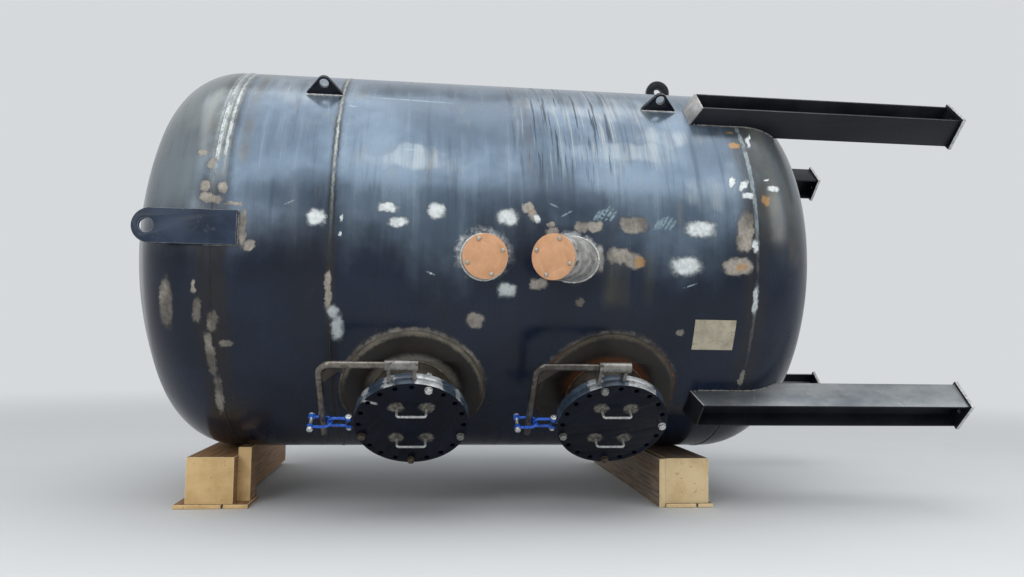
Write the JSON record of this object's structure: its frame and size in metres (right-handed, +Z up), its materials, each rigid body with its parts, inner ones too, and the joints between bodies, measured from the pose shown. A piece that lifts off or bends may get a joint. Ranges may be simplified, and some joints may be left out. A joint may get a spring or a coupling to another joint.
{
  "type": "leg-supported steel pressure tank on timber cribs",
  "caption": "Steel pressure tank laid on its side on timber cribs, with dished heads, four legs with base plates, lifting lugs, capped nozzles and davit-hung manway covers.",
  "frame": {"origin": "on the floor under the tank's axis, in the middle of the left timber", "axes": "+X along the tank's axis from the left head towards its feet, +Y away from the manway side, +Z up"},
  "size_m": [5.6789, 3.0878, 3.2606],
  "materials": {
    "black_plate": "hot-rolled plate with mill scale, ground patches and light rust",
    "leg_section": "rolled section with mill scale",
    "raw_plate": "burnt and ground steel plate, bare",
    "cover_black": "black primed steel, satin",
    "neck_steel": "machined and heat-tinted steel",
    "pad_steel": "heat-tinted plate, brown",
    "board_cover": "smooth peach-coloured hardboard disc",
    "gasket_red": "sheet rubber",
    "galvanised_bar": "bright zinc-coated round bar",
    "davit_pipe": "raw steel pipe, grey brown",
    "shackle_blue": "blue powder coat",
    "zinc_pin": "bright zinc plate",
    "tag_plate": "bare plate, dull tan",
    "pine": "sawn pine timber",
    "pine_board": "sawn pine boards"
  },
  "bodies": {
    "tank": {"left_head": "black_plate", "shell_course_1": "black_plate", "shell_course_2": "black_plate", "right_head": "black_plate", "leg_near_top": "leg_section", "leg_near_bottom": "leg_section", "leg_far_top": "leg_section", "leg_far_bottom": "leg_section", "leg_caps": "raw_plate", "base_plates": "leg_section", "ears_near": "black_plate", "ears_far": "black_plate", "tail_lug": "black_plate", "side_plate_near": "black_plate", "side_plate_far": "black_plate", "nozzle_1_neck": "neck_steel", "nozzle_1_cover": "board_cover", "nozzle_2_neck": "neck_steel", "nozzle_2_cover": "board_cover", "manway_1_pad": "pad_steel", "manway_1_neck": "pad_steel", "manway_1_flange": "cover_black", "manway_1_gasket": "gasket_red", "davit_1_bracket": "raw_plate", "manway_2_pad": "pad_steel", "manway_2_neck": "pad_steel", "manway_2_flange": "cover_black", "manway_2_gasket": "gasket_red", "davit_2_bracket": "raw_plate", "name_plate": "tag_plate", "left_timber": "pine", "left_boards": "pine_board", "right_timber": "pine", "right_boards": "pine_board", "chocks": "pine_board"},
    "davit_1": {"manway_1_cover": "cover_black", "manway_1_handles": "galvanised_bar", "davit_1_arm": "davit_pipe", "davit_1_shackles": "shackle_blue", "davit_1_pins": "zinc_pin"},
    "davit_2": {"manway_2_cover": "cover_black", "manway_2_handles": "galvanised_bar", "davit_2_arm": "davit_pipe", "davit_2_shackles": "shackle_blue", "davit_2_pins": "zinc_pin"}
  },
  "joints": [
    {"name": "davit_1_swing", "type": "hinge", "parent": "tank", "child": "davit_1", "pos_m": [1.307, -1.52812, 0.96505], "axis": [-1, 0, 0], "range_deg": [0, 135]},
    {"name": "davit_2_swing", "type": "hinge", "parent": "tank", "child": "davit_2", "pos_m": [2.557, -1.52812, 0.96505], "axis": [-1, 0, 0], "range_deg": [0, 135]}
  ]
}
